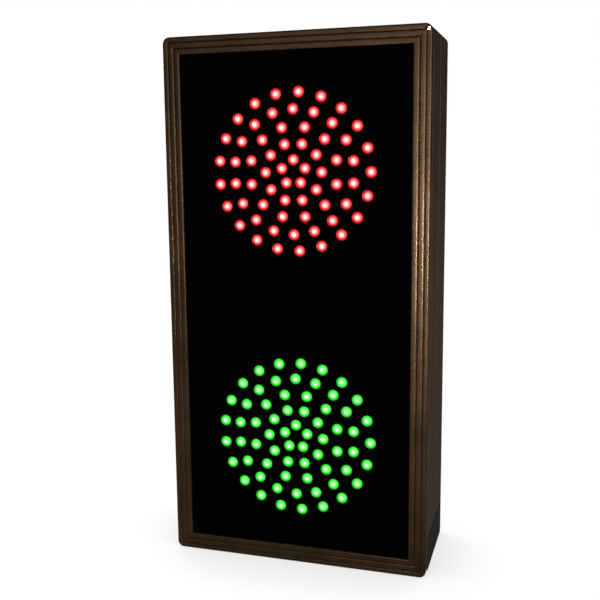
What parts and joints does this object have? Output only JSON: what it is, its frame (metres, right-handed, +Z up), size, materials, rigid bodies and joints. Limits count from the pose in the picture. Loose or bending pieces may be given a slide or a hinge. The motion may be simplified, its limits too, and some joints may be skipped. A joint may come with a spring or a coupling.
{
  "type": "two-aspect led traffic signal head",
  "caption": "Flat rectangular signal head: bronze cabinet with a hinged door, black face, red lamp rings above green, wall or post mounted.",
  "frame": {"origin": "centre of the rear mounting plane of the cabinet", "axes": "+Z up along the cabinet's height, -Y out of the lit face towards the viewer, +X to the viewer's right"},
  "size_m": [0.1792, 0.0762, 0.3556],
  "materials": {
    "bronze_body": "satin dark bronze",
    "bronze_frame": "satin dark bronze",
    "face_black": "matt black",
    "lamp_red": "lit red lens",
    "lamp_green": "lit green lens",
    "foam": "closed-cell foam",
    "label": "blank label film",
    "zinc_steel": "zinc plated",
    "stainless": "stainless",
    "mill_aluminium": "mill finish",
    "board_green": "solder mask",
    "copper_tape": "yellow insulating tape",
    "capacitor": "sleeved can",
    "black_plastic": "moulded",
    "white_nylon": "moulded nylon",
    "brass": "plain",
    "resistor": "coated",
    "wire_brown": "PVC",
    "wire_red": "PVC",
    "sleeve": "braided sleeve"
  },
  "bodies": {
    "cabinet": {"left_wall": "bronze_body", "right_wall": "bronze_body", "top_wall": "bronze_body", "bottom_wall": "bronze_body", "corner_keys": "mill_aluminium", "corner_key_screws": "stainless", "rear_panel": "bronze_body", "rear_panel_screws": "stainless", "door_gasket": "foam", "rating_label": "label", "power_supply_tray": "mill_aluminium", "power_supply_cover": "mill_aluminium", "power_supply_cover_screws": "zinc_steel", "power_supply_board": "board_green", "power_supply_transformer": "copper_tape", "power_supply_capacitors": "capacitor", "power_supply_heatsink": "mill_aluminium", "power_supply_screws": "zinc_steel", "terminal_block": "black_plastic", "terminal_clamp_screws": "zinc_steel", "terminal_block_screws": "zinc_steel", "earth_stud": "brass", "earth_nuts": "brass", "earth_washers": "zinc_steel", "mains_leads": "wire_brown", "lamp_leads": "wire_red", "cabinet_cable_clip": "white_nylon", "hinge_cabinet_leaf": "stainless", "hinge_cabinet_screws": "stainless", "hinge_pin": "stainless", "upper_latch_bush": "stainless", "lower_latch_bush": "stainless"},
    "door": {"door_left_rail": "bronze_frame", "door_right_rail": "bronze_frame", "door_top_rail": "bronze_frame", "door_bottom_rail": "bronze_frame", "door_corner_brackets": "mill_aluminium", "door_corner_screws": "stainless", "face_tape": "foam", "face_panel": "face_black", "face_clips": "stainless", "face_clip_screws": "stainless", "board_standoffs": "brass", "board_screws": "zinc_steel", "red_board": "board_green", "green_board": "board_green", "red_lamps": "lamp_red", "green_lamps": "lamp_green", "board_resistors": "resistor", "board_connectors": "white_nylon", "door_cable_clip": "white_nylon", "hinge_door_leaf": "stainless", "hinge_door_screws": "stainless", "keeper_studs": "stainless", "door_leads": "wire_red", "service_loop": "sleeve"},
    "upper_latch": {"upper_latch_plug": "stainless", "upper_latch_hook": "zinc_steel"},
    "lower_latch": {"lower_latch_plug": "stainless", "lower_latch_hook": "zinc_steel"}
  },
  "joints": [
    {"name": "door_hinge", "type": "hinge", "parent": "cabinet", "child": "door", "pos_m": [-0.0884, -0.0718, 0], "axis": [0, 0, -1], "range_deg": [0, 110], "deforming": ["service_loop"]},
    {"name": "upper_latch_turn", "type": "hinge", "parent": "cabinet", "child": "upper_latch", "pos_m": [0.052, -0.0502, 0.1778], "axis": [0, 0, 1], "range_deg": [0, 90]},
    {"name": "lower_latch_turn", "type": "hinge", "parent": "cabinet", "child": "lower_latch", "pos_m": [0.052, -0.0502, -0.1778], "axis": [0, 0, 1], "range_deg": [0, 90]}
  ]
}
